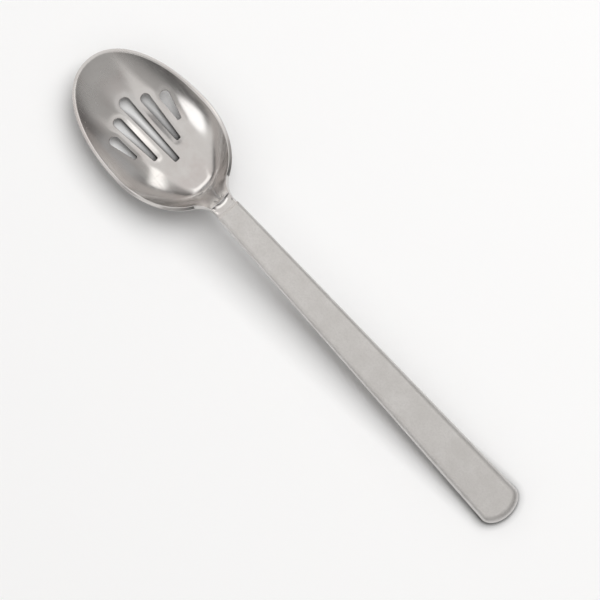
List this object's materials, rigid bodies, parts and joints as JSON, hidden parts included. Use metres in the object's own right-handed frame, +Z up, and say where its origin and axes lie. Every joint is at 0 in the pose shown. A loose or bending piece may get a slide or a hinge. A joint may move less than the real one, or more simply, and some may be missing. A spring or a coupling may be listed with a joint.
{
  "type": "slotted serving spoon",
  "caption": "Slotted serving spoon: a pressed oval bowl with a fan of tapering drain slots, on a long flat hollow handle that widens to a rounded end.",
  "frame": {"origin": "middle of the spoon's length and width, on the surface that it lies on", "axes": "+X from the bowl's tip to the handle's end, +Y across the spoon, +Z up out of the bowl"},
  "size_m": [0.3048, 0.0604, 0.025],
  "materials": {
    "polished_bowl": "polished stainless steel with soft wear haze",
    "satin_handle": "satin stainless steel, fine grain",
    "ground_weld": "weld ground flush and polished"
  },
  "bodies": {
    "root": {"slotted_bowl": "polished_bowl", "handle_top_shell": "satin_handle", "handle_bottom_shell": "satin_handle", "handle_seam_weld": "ground_weld", "neck_weld": "ground_weld"}
  },
  "joints": []
}
